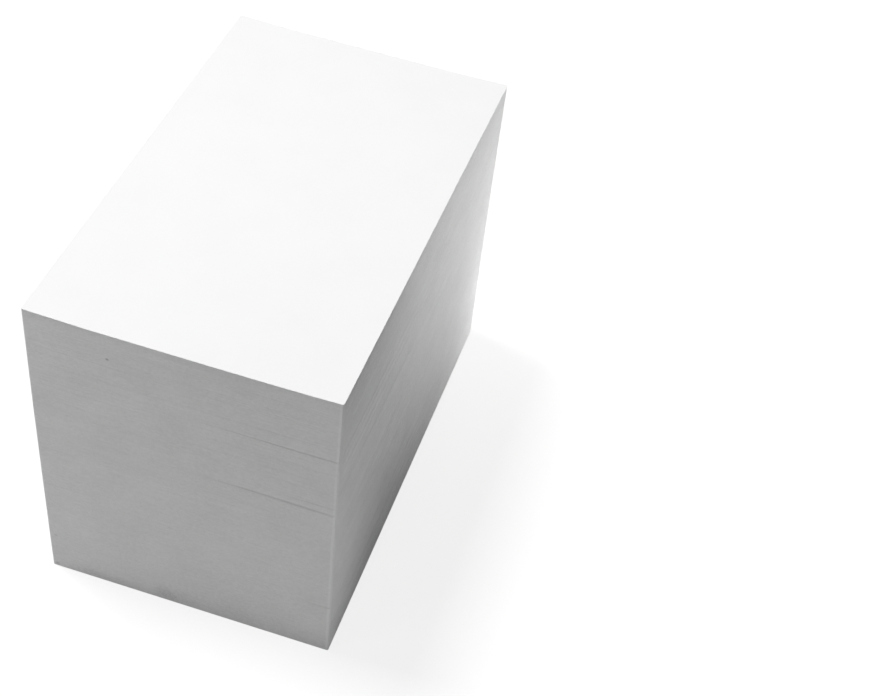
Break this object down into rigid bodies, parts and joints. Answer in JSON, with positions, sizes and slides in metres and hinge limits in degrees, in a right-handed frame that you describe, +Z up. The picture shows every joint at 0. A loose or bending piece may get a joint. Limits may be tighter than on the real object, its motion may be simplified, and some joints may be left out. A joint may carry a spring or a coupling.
{
  "type": "stack of index cards",
  "caption": "Squared-up stack of blank white index cards lying flat, with cut paper edges on every side, a slight lean and faint seams where one pack lies on the next.",
  "frame": {"origin": "centre of the underside of the lowest card, on the surface that the stack stands on", "axes": "+Z up through the cards; X along the cards' short edge; Y along their long edge, with the front of the stack, a row of short edges, at -Y"},
  "size_m": [0.0775, 0.1312, 0.095],
  "materials": {
    "card_stock": "matt, uncoated white card stock, with slightly duller cut edges"
  },
  "bodies": {
    "root": {"bottom_card": "card_stock", "cards_002_010": "card_stock", "cards_011_020": "card_stock", "cards_021_030": "card_stock", "cards_031_040": "card_stock", "cards_041_050": "card_stock", "cards_051_060": "card_stock", "cards_061_070": "card_stock", "cards_071_080": "card_stock", "cards_081_090": "card_stock", "cards_091_100": "card_stock", "cards_101_110": "card_stock", "cards_111_120": "card_stock", "cards_121_130": "card_stock", "cards_131_140": "card_stock", "cards_141_150": "card_stock", "cards_151_160": "card_stock", "cards_161_170": "card_stock", "cards_171_180": "card_stock", "cards_181_190": "card_stock", "cards_191_200": "card_stock", "cards_201_210": "card_stock", "cards_211_220": "card_stock", "cards_221_230": "card_stock", "cards_231_240": "card_stock", "cards_241_250": "card_stock", "cards_251_260": "card_stock", "cards_261_270": "card_stock", "cards_271_280": "card_stock", "cards_281_290": "card_stock", "cards_291_300": "card_stock", "cards_301_310": "card_stock", "cards_311_320": "card_stock", "cards_321_330": "card_stock", "cards_331_340": "card_stock", "cards_341_350": "card_stock", "cards_351_360": "card_stock", "cards_361_370": "card_stock", "cards_371_380": "card_stock", "cards_381_390": "card_stock", "cards_391_400": "card_stock", "cards_401_410": "card_stock", "cards_411_420": "card_stock", "cards_421_430": "card_stock", "cards_431_440": "card_stock", "cards_441_450": "card_stock", "cards_451_460": "card_stock", "cards_461_470": "card_stock", "cards_471_480": "card_stock", "cards_481_490": "card_stock", "cards_491_499": "card_stock", "top_card": "card_stock"}
  },
  "joints": []
}
